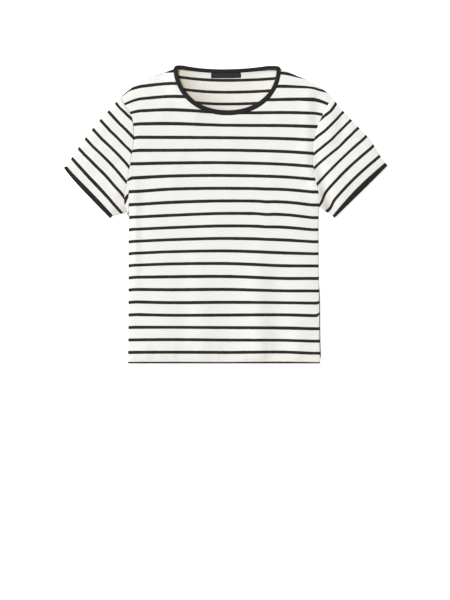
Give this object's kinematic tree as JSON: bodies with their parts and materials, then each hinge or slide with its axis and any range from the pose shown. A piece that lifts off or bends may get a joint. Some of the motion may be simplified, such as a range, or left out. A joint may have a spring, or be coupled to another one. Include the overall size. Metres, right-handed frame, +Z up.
{
  "type": "striped t-shirt laid flat",
  "caption": "Short-sleeved round-neck jersey t-shirt with thin horizontal stripes and dark bound neck and cuffs, laid flat on its back with its front up",
  "frame": {"origin": "on the floor plane, under the middle of the laid-out shirt's bounding box", "axes": "+X runs across the shirt to the right cuff as seen from above, +Y runs from the hem to the neck, +Z is up, the way the front faces"},
  "size_m": [0.68, 0.624, 0.0069],
  "materials": {
    "jersey": "ivory cotton single jersey with thin black knitted stripes, matt",
    "binding": "black cotton rib binding, matt, edge-stitched",
    "label": "black woven strip with a slight satin sheen, bare"
  },
  "bodies": {
    "root": {"back_panel": "jersey", "front_panel": "jersey", "sleeve_left": "jersey", "sleeve_right": "jersey", "neck_binding": "binding", "cuff_binding_left": "binding", "cuff_binding_right": "binding", "neck_label": "label"}
  },
  "joints": []
}
